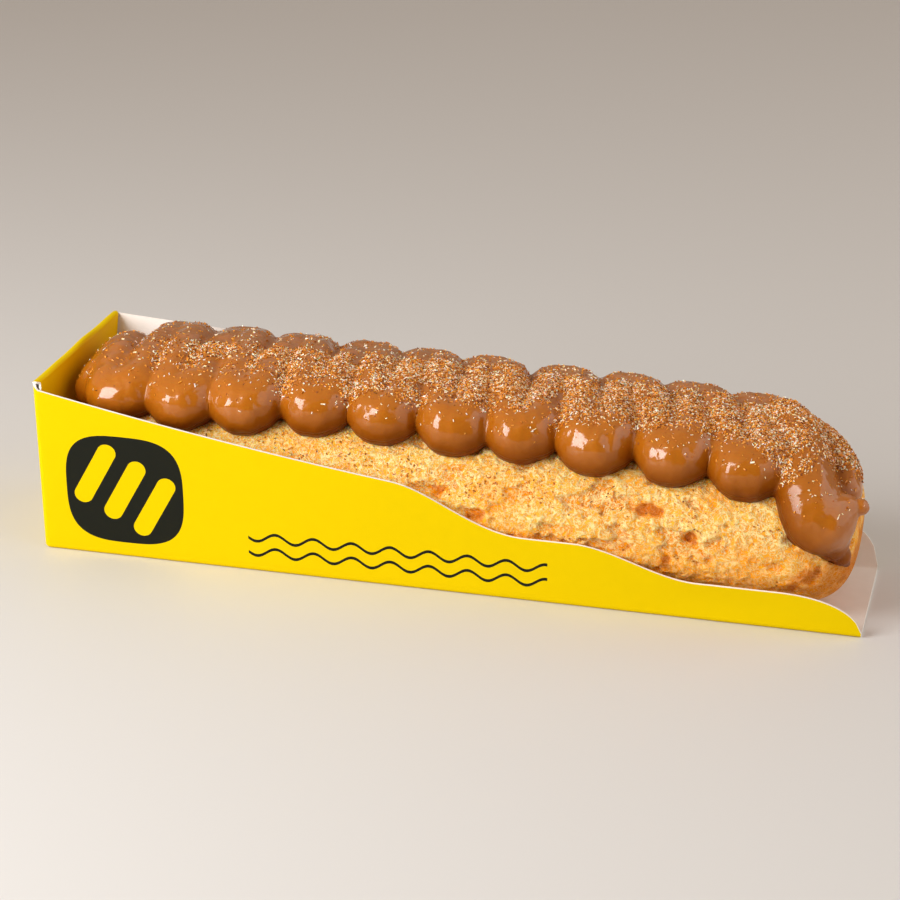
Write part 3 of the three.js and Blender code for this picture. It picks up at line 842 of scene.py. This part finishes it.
rope = {
    "firstTurns": [(10.5, 38, 4.6), (12.5, -38, 4.9)],
    "frontTurns": [
        (17.6, 45.5, 6.1), (30.8, 47.4, 6.2), (44.6, 45.6, 6.5), (60, 42.3, 6.2), (75, 43.5, 6.0),
        (90.6, 45.6, 6.2), (105.2, 45.2, 6.3), (121.2, 48.0, 6.6), (138, 49.8, 6.4), (153.9, 52.6, 6.5),
    ],
    "backTurns": [22, 35.8, 49.9, 64.6, 78.5, 92.5, 109, 123.4, 137.8, 152],
    "frontBend": {
        "half": 2.9, "start": -4.6, "depth": 6.8, "lean": 2.2, "sides": 0.86, "low": 0.78, "steps": 6,
    },
    "backBend": {
        "half": 2.3, "start": 1, "depth": -2, "lean": 0, "sides": 0.93, "low": 0.9, "steps": 4,
    },
    "backAngle": -43, "backRadius": 6.1,
    "downRadius": 5.0, "upRadius": 4.6, "armLift": 0.3,
    "lift": (0.62, 0.38), "liftFade": (135, 162),
    "lastTurn": (169.6, 76, 7.2, 0.05), "lastArmRadius": 6.3,
    "fusing": 0.5, "reach": 12, "sunk": 0.9,
    "armSteps": 14, "sides": 20, "domeRings": 4, "leastRing": 0.02, "normalStep": 0.05,
    "voxel": 0.62, "settleRounds": 4, "leastSteep": 0.3,
}
# The last strand, which comes from behind and runs over the open end into the last loop
endStrand = {
    "x": (158, 172.6), "angle": (-44, 52), "radius": (4.6, 4.1), "lift": (0.45, 0.2), "steps": 18,
}
# The last pull of the piping tip, a short tail of two beads: x, y, height and radius
tail = [
    (171.5, -17.5, 26.5, 3.6), (174.8, -18.4, 27.9, 2.8), (176.6, -18.2, 27.9, 1.5),
    (177.6, -18.0, 28.3, 1.8),
]
# A thin sheet that ran down from the last loop: distance, angle, radius and stand-off in radii
drape = [(170.2, 80, 6.0, 0), (172.6, 91, 3.8, -0.2), (174.2, 101, 2.3, -0.1), (175.3, 112, 0.9, 0)]


# An arm of the rope from its distance, angle, radius and lift: its middle line, which stands off
# the baton along the surface's own normal, and its radii
def ropeArm(x, degrees, radius, lift):
    step, angle = rope["normalStep"], np.radians(degrees)
    along = batonPoint(x + step, angle) - batonPoint(x - step, angle)
    across = batonPoint(x, angle + step) - batonPoint(x, angle - step)
    return batonPoint(x, angle) + unit(np.cross(across, along)) * (radius * lift)[..., None], radius


# Height of the rope's middle over the crust as a share of its radius, less at the open end
def usualLift(x):
    return mix(*rope["lift"], fade(*rope["liftFade"], x))


# Half a turn round a bend of the rope, by an angle that runs from 0 to 180 degrees: along the
# baton by minus its cosine, round the baton by its sine and a lean, fullest half way
def bendTurns(x, middle, radius, bend):
    half = np.linspace(0, math.pi, bend["steps"] + 1)
    angle = middle + bend["start"] + bend["depth"] * np.sin(half) + bend["lean"] * np.cos(half)
    size = radius * mix(bend["sides"], 1, np.sin(half))
    lift = usualLift(x) * mix(1, bend["low"], np.sin(half))
    return np.stack((x - bend["half"] * np.cos(half), angle, size, lift), axis=1)


# The rope's bends from the closed end to the last hanging loop, as rows of distance from the
# closed end, angle, radius and lift
def ropeBends():
    bends = [np.array([[x, angle, radius, usualLift(x)]]) for x, angle, radius in rope["firstTurns"]]
    for (frontX, angle, radius), backX in zip(rope["frontTurns"], rope["backTurns"]):
        bends.append(bendTurns(frontX, angle, radius, rope["frontBend"]))
        bends.append(bendTurns(backX, rope["backAngle"], rope["backRadius"], rope["backBend"]))
    return bends + [np.array([rope["lastTurn"]])]


# Arms from one bend to the next: the distance along grows evenly, the angle follows a cosine
# and the arm is slimmest and highest half way
def ropeArms():
    bends = ropeBends()
    arms = [ropeArm(*bend.T) for bend in bends if len(bend) > 1]
    t = np.linspace(0, 1, rope["armSteps"] + 1)
    swing = (1 - np.cos(math.pi * t)) / 2
    midway = np.sin(math.pi * t) ** 2
    for before, after in zip(bends, bends[1:]):
        (x0, angle0, radius0, lift0), (x1, angle1, radius1, lift1) = before[-1], after[0]
        slim = rope["downRadius"] if angle1 > angle0 else rope["upRadius"]
        if after is bends[-1]:
            slim = rope["lastArmRadius"]
        radius = mix(mix(radius0, radius1, swing), slim, midway)
        lift = mix(lift0, lift1, swing) * (1 + rope["armLift"] * midway)
        arms.append(ropeArm(mix(x0, x1, t), mix(angle0, angle1, swing), radius, lift))
    return arms


# The strand over the open end: its distance follows a quarter of a sine, so that it bends round
def endArms():
    t = np.linspace(0, 1, endStrand["steps"] + 1)
    x = mix(*endStrand["x"], np.sin(math.pi / 2 * t))
    strand = ropeArm(x, *(mix(*endStrand[key], t) for key in ("angle", "radius", "lift")))
    tip = np.array(tail) - np.array([case["length"] / 2, 0, 0, 0])
    return [strand, (tip[:, :3], tip[:, 3]), ropeArm(*np.array(drape).T)]


# Distance from points to the whole rope and the direction away from it: the nearest tapered
# piece of each arm, with the arms blended by a soft minimum so that they run together
def ropeDistance(points, arms):
    fusing = rope["fusing"]
    total = np.full(len(points), 1e-30)
    lean = np.zeros((len(points), 3))
    for centres, radii in arms:
        middle, half = (centres[:, 0].max() + centres[:, 0].min()) / 2, np.ptp(centres[:, 0]) / 2
        near = np.abs(points[:, 0] - middle) < half + rope["reach"]
        place = points[near][:, None, :]
        start, span = centres[:-1], np.diff(centres, axis=0)
        t = np.clip(((place - start) * span).sum(axis=-1) / (span ** 2).sum(axis=-1), 0, 1)
        away = place - start - t[..., None] * span
        length = np.linalg.norm(away, axis=-1)
        gap = length - mix(radii[:-1], radii[1:], t)
        best = gap.argmin(axis=1)
        pick = np.arange(len(best))
        weight = np.exp(-np.clip(gap[pick, best], -20, 20) / fusing)
        total[near] += weight
        lean[near] += (weight / length[pick, best])[:, None] * away[pick, best]
    distance = -fusing * np.log(total)
    return distance, lean / np.maximum(total, 1e-30)[:, None]


# Depth of points below the smooth baton, and their distance from the closed end and angle
def belowCrust(points):
    x = np.clip(points[:, 0] + case["length"] / 2, baton["start"] + 0.2, baton["end"] - 0.2)
    up = points[:, 2] - baton["centre"]
    angle = np.arctan2(-points[:, 1], up)
    return sectionRadius(x, angle) - np.hypot(points[:, 1], up), x, angle


# A ring carried along the middle line of each arm, with more rings that close it by a dome at
# both ends
def armTubes(arms):
    allPoints, allFaces, count = [], [], 0
    dome = np.linspace(0, math.pi / 2, rope["domeRings"] + 1)[:-1]
    around = np.linspace(0, 2 * math.pi, rope["sides"], endpoint=False)[:, None]
    for centres, radii in arms:
        pick = np.pad(np.arange(len(centres)), len(dome), "edge")
        turn = np.concatenate([dome, np.full(len(centres), math.pi / 2), math.pi - dome[::-1]])
        tangent = unit(np.gradient(centres, axis=0))[pick]
        place = centres[pick] - (np.cos(turn) * radii[pick])[:, None] * tangent
        ringRadius = np.maximum(np.sin(turn) * radii[pick], rope["leastRing"])
        sideways = unit(np.cross(tangent, [0, 0, 1]))
        upward = np.cross(sideways, tangent)
        ring = np.cos(around) * sideways[:, None] + np.sin(around) * upward[:, None]
        points = place[:, None] + ring * ringRadius[:, None, None]
        allPoints += [points.reshape(-1, 3), place[[0, -1]]]
        allFaces.append([group + count for group in tubeFaces(*points.shape[:2])])
        count += points[..., 0].size + 2
    return np.concatenate(allPoints), [np.concatenate(kind) for kind in zip(*allFaces)]


# Sugar lies in a band along the top, thick in the hollows of the loops and thin on their ridges
# and over the first loops. Distances in millimetres, angles in degrees; a pair holds the values
# at the closed and the open end, or those between which something fades.
dusting = {
    "along": (30, 110),
    "middle": (20, 10.5), "width": (17, 26), "ragged": 12, "edge": 6,
    "spill": {"x": 162, "length": 5, "width": 20},
    "ridgeRadius": 5, "ridgeLift": 1.3, "ridgeFade": (-2, 0.3), "ridgeBare": (0.95, 0.5),
    "startFade": (18, 30), "startShare": 0.04,
    "gapFade": (0.28, 0.5),
    "depth": 0.22, "stain": 0.8,
    "furrow": 0.35, "furrowStretch": (1, 0.35, 0.3), "uneven": 0.75,
}
# Size in millimetres, seed and octaves of the noises on the caramel
ropeNoise = {
    "width": (7, 101, 3),
    "gaps": (3.5, 111, 3),
    "grit": (0.9, 121, 2),
    "furrow": (1.9, 141, 2),
    "uneven": (4.5, 151, 2),
}


def buildCaramel():
    d, spill = dusting, dusting["spill"]
    arms = ropeArms() + endArms()
    points, faces = armTubes(arms)
    piece = makePiece("pipedRope", points, faces, [caramelMaterial], ["piped_caramel"])
    join = piece.modifiers.new("runTogether", "REMESH")
    join.mode = "VOXEL"
    join.voxel_size = rope["voxel"] * mm
    join.use_smooth_shade = True
    applyModifiers(piece)

    # Settle the points on the rope's surface, and lift those that lie too deep in the baton
    points = meshPoints(piece.data)
    for _ in range(rope["settleRounds"]):
        distance, direction = ropeDistance(points, arms)
        steep = np.maximum((direction ** 2).sum(axis=1), rope["leastSteep"])
        points = points - np.clip(distance, -1, 1)[:, None] * direction / steep[:, None]
    depth, x, angle = belowCrust(points)
    outward = unit(pointsAt(0, points[:, 1], points[:, 2] - baton["centre"]))
    points = points + outward * np.maximum(depth - rope["sunk"], 0)[:, None]

    def noise(name, stretch=1):
        return layeredNoise(points * np.array(stretch), *ropeNoise[name])

    degrees = np.degrees(angle)
    onward = fade(*d["along"], x)
    middle = mix(*d["middle"], onward)
    width = mix(*d["width"], onward) + d["ragged"] * (noise("width") - 0.5)
    spilt = np.exp(-((x - spill["x"]) / spill["length"]) ** 2) * (degrees > middle)
    width = width + spill["width"] * spilt
    band = 1 - fade(width - d["edge"], width + d["edge"], np.abs(degrees - middle))
    ridgeHeight = d["ridgeRadius"] * (1 + d["ridgeLift"] * usualLift(x))
    ridge = fade(*d["ridgeFade"], -depth - ridgeHeight)
    low = 1 - ridge * mix(*d["ridgeBare"], onward)
    sugar = band * low * mix(d["startShare"], 1, fade(*d["startFade"], x))
    sugar = sugar * fade(*d["gapFade"], noise("gaps"))
    # Grit under the sugar, and slight furrows that run down the lobes where they are bare
    grit = sugar * d["depth"] * noise("grit")
    furrow = d["furrow"] * (noise("furrow", d["furrowStretch"]) - 0.5)
    grit = grit + (furrow + d["uneven"] * (noise("uneven") - 0.5)) * (1 - sugar)
    direction = unit(ropeDistance(points, arms)[1])
    setPoints(piece.data, points + direction * (grit * (depth < 0))[:, None])
    piece.data.update()
    piece.data.shade_smooth()
    addAttribute(piece, "sugar", d["stain"] * sugar)
    addAttribute(piece, "rise", np.clip(-depth, -1, 12))
    return piece


print("caramel")
pipedRope = buildCaramel()

# Sugar and cinnamon

# How many grains of each kind, their size in millimetres, the share that strays beside the band
# and the share that falls on the crust
grains = {
    "sugarWhite": {"count": 12500, "length": 0.44, "width": 0.22, "strays": 0.026, "crustShare": 0.0},
    "sugarCinnamon": {"count": 24500, "length": 0.42, "width": 0.25, "strays": 0.02, "crustShare": 0.06},
    "cinnamonDark": {"count": 6500, "length": 0.34, "width": 0.24, "strays": 0.005, "crustShare": 0.04},
}
# How far a crystal's corners are moved, how much its length and width vary, the least and the
# greatest size in millimetres, the tilt, and how high it stands
crystal = {
    "uneven": 0.25, "spread": (0.4, 0.28), "sizes": (0.1, 1.0), "tilt": 0.35, "raised": 0.2,
}
# Where the grains fall: angles in degrees, distances in millimetres, and the values between
# which each share fades
scatter = {
    "seed": 7,
    "facingUp": (0.0, 0.7),
    "sideFade": (50, 95),
    "alongFade": (40, 100), "leastAlong": 0.45,
    "crustFrom": (50, 62), "crustTo": (72, 96),
    "driftNoise": (7, 161), "driftFade": (0.45, 0.7), "leastDrift": 0.08,
    "clumpMm": 2.6, "clumpSeed": 131,
}


def triangleIndex(mesh):
    mesh.calc_loop_triangles()
    index = np.zeros(len(mesh.loop_triangles) * 3, np.int32)
    mesh.loop_triangles.foreach_get("vertices", index)
    return index.reshape(-1, 3)


# Corners, centres, outward directions and areas of a piece's triangles, in millimetres
def surfaceTriangles(piece):
    corners = meshPoints(piece.data)[triangleIndex(piece.data)]
    normal = np.cross(corners[:, 1] - corners[:, 0], corners[:, 2] - corners[:, 0])
    return corners, corners.mean(axis=1), unit(normal), np.linalg.norm(normal, axis=1) / 2


# Values of a point attribute, averaged over each triangle's corners
def onTriangles(piece, name):
    values = np.zeros(len(piece.data.vertices), np.float32)
    piece.data.attributes[name].data.foreach_get("value", values)
    return values[triangleIndex(piece.data)].mean(axis=1)


# Random points on triangles, more where the weight is higher
def scatterOn(corners, weight, count, draw):
    chosen = draw.choice(len(corners), count, p=weight / weight.sum())
    a, b = draw.random((2, count))
    flip = a + b > 1
    a, b = np.where(flip, 1 - a, a), np.where(flip, 1 - b, b)
    picked = corners[chosen]
    along, across = picked[:, 1] - picked[:, 0], picked[:, 2] - picked[:, 0]
    place = picked[:, 0] + a[:, None] * along + b[:, None] * across
    return place, chosen


# Crystals: slim three-sided prisms with every corner moved a little, each laid nearly flat on the
# surface, turned at random and made longer or thicker by a random factor
def crystals(place, normal, length, width, draw):
    count, uneven = len(place), crystal["uneven"]
    corner = np.arange(3) * 2 * math.pi / 3
    ends = [(side, math.cos(turn), math.sin(turn)) for side in (-1, 1) for turn in corner]
    shape = (np.array(ends) + draw.uniform(-uneven, uneven, (count, 6, 3))) / 2
    longer, thicker = np.exp(draw.normal(0, np.array(crystal["spread"])[:, None], (2, count)))
    sizes = np.stack([length * longer, width * thicker, width * thicker], axis=-1)
    shape = shape * np.clip(sizes, *crystal["sizes"])[:, None]
    tilt = draw.normal(0, crystal["tilt"], (count, 1))
    around = draw.uniform(0, 2 * math.pi, (count, 1))
    sideways = unit(np.cross(normal, draw.normal(size=(count, 3))))
    along = np.cos(tilt) * sideways + np.sin(tilt) * normal
    up = np.cos(tilt) * normal - np.sin(tilt) * sideways
    across = np.cross(up, along)
    turnedUp = np.cos(around) * up + np.sin(around) * across
    turnedAcross = np.cos(around) * across - np.sin(around) * up
    axes = np.stack([along, turnedAcross, turnedUp], axis=1)
    raised = place + normal * sizes[:, 2:] * crystal["raised"]
    points = raised[:, None] + np.einsum("nij,njk->nik", shape, axes)
    start = np.arange(count)[:, None, None] * 6
    caps = np.array([(0, 2, 1), (3, 4, 5)]) + start
    walls = np.array([(0, 1, 4, 3), (1, 2, 5, 4), (2, 0, 3, 5)]) + start
    return points.reshape(-1, 3), caps.reshape(-1, 3), walls.reshape(-1, 4)


def buildGrains():
    s = scatter
    draw = np.random.default_rng(s["seed"])
    corners, centre, normal, area = surfaceTriangles(pipedRope)
    depth, x, angle = belowCrust(centre)
    sugar = onTriangles(pipedRope, "sugar")
    facingUp = fade(*s["facingUp"], normal[:, 2])
    aside = fade(*s["sideFade"], np.abs(np.degrees(angle)))
    straying = mix(s["leastAlong"], 1, fade(*s["alongFade"], x)) * facingUp * (1 - aside)
    crustCorners, crustCentre, crustNormal, crustArea = surfaceTriangles(bakedBaton)
    crustTurn = np.abs(np.degrees(belowCrust(crustCentre)[2]))
    onCrust = fade(*s["crustFrom"], crustTurn) * (1 - fade(*s["crustTo"], crustTurn))
    drifts = fade(*s["driftFade"], layeredNoise(crustCentre, *s["driftNoise"])) + s["leastDrift"]
    for name, kind in grains.items():
        clumps = layeredNoise(centre, s["clumpMm"], s["clumpSeed"] + len(name))
        dense = sugar ** 1.3 * (0.35 + facingUp) * (0.5 + clumps)
        weight = area * (dense + kind["strays"] * straying) * (depth < -0.3)
        strewn = round(kind["count"] * kind["crustShare"])
        place, chosen = scatterOn(corners, weight, kind["count"] - strewn, draw)
        lying = normal[chosen]
        if strewn:
            onto, chosen = scatterOn(crustCorners, crustArea * onCrust * drifts, strewn, draw)
            place, lying = np.concatenate([place, onto]), np.concatenate([lying, crustNormal[chosen]])
        points, caps, walls = crystals(place, lying, kind["length"], kind["width"], draw)
        piece = makePiece(name, points, [caps, walls], [grainMaterials[name]], [])
        piece.data.shade_flat()


print("sugar")
buildGrains()

# Floor, light and camera

studio = {
    "floor": "#DCDBD9", "floorSize": 4,
    "world": "#FFD2A0", "worldStrength": 0.2,
    # Place, width, height and power
    "lamps": {
        "key": ((-0.42, -0.437, 0.3), 0.36, 0.44, 5.3),
        "side": ((0.8, -0.05, 0.34), 1.5, 1.1, 5.6),
        "top": ((-0.15, 0.2, 0.95), 2.6, 2.4, 4.6),
        "back": ((0.1, 0.95, 0.4), 1.6, 0.9, 0.4),
    },
}
view = {
    "azimuth": 11.633, "elevation": 19.300, "roll": 1.961,
    "lens": 123.81, "distance": 0.68397,
    "aim": (-0.00465, 0.00536, 0.02319),
}


def buildStudio():
    size = studio["floorSize"] / 2
    mesh = bpy.data.meshes.new("floor")
    corners = [(-size, -size, 0), (size, -size, 0), (size, size, 0), (-size, size, 0)]
    mesh.from_pydata(corners, [], [(0, 1, 2, 3)])
    material, tree, shader = newMaterial("paleFloor")
    setShader(shader, {"Base Color": linear(studio["floor"]), "Roughness": 0.6})
    mesh.materials.append(material)
    floor = addObject("floor", mesh)
    world = bpy.data.worlds.new("studio")
    world.use_nodes = True
    background = world.node_tree.nodes["Background"]
    setShader(background, {"Color": linear(studio["world"]), "Strength": studio["worldStrength"]})
    bpy.context.scene.world = world
    for name, (place, width, height, power) in studio["lamps"].items():
        light = bpy.data.lights.new(name, "AREA")
        light.shape = "RECTANGLE"
        light.size = width
        light.size_y = height
        light.energy = power
        lamp = addObject(name, light)
        lamp.location = place
        toAim = Vector(view["aim"]) - lamp.location
        lamp.rotation_euler = toAim.to_track_quat("-Z", "Y").to_euler()
    bpy.context.scene.view_settings.view_transform = "Standard"


# The camera stands back from its aim, turned by the azimuth, raised by the elevation and rolled
def buildCamera():
    azimuth, elevation, roll = (math.radians(view[key]) for key in ("azimuth", "elevation", "roll"))
    lens = bpy.data.cameras.new("camera")
    lens.lens = view["lens"]
    lens.sensor_width = 36
    camera = addObject("camera", lens)
    turned = Matrix.Rotation(azimuth, 4, "Z") @ Matrix.Rotation(math.pi / 2 - elevation, 4, "X")
    turned = turned @ Matrix.Rotation(roll, 4, "Z")
    back = Matrix.Translation((0, 0, view["distance"]))
    camera.matrix_world = Matrix.Translation(view["aim"]) @ turned @ back
    bpy.context.scene.camera = camera


print("studio")
buildStudio()
buildCamera()
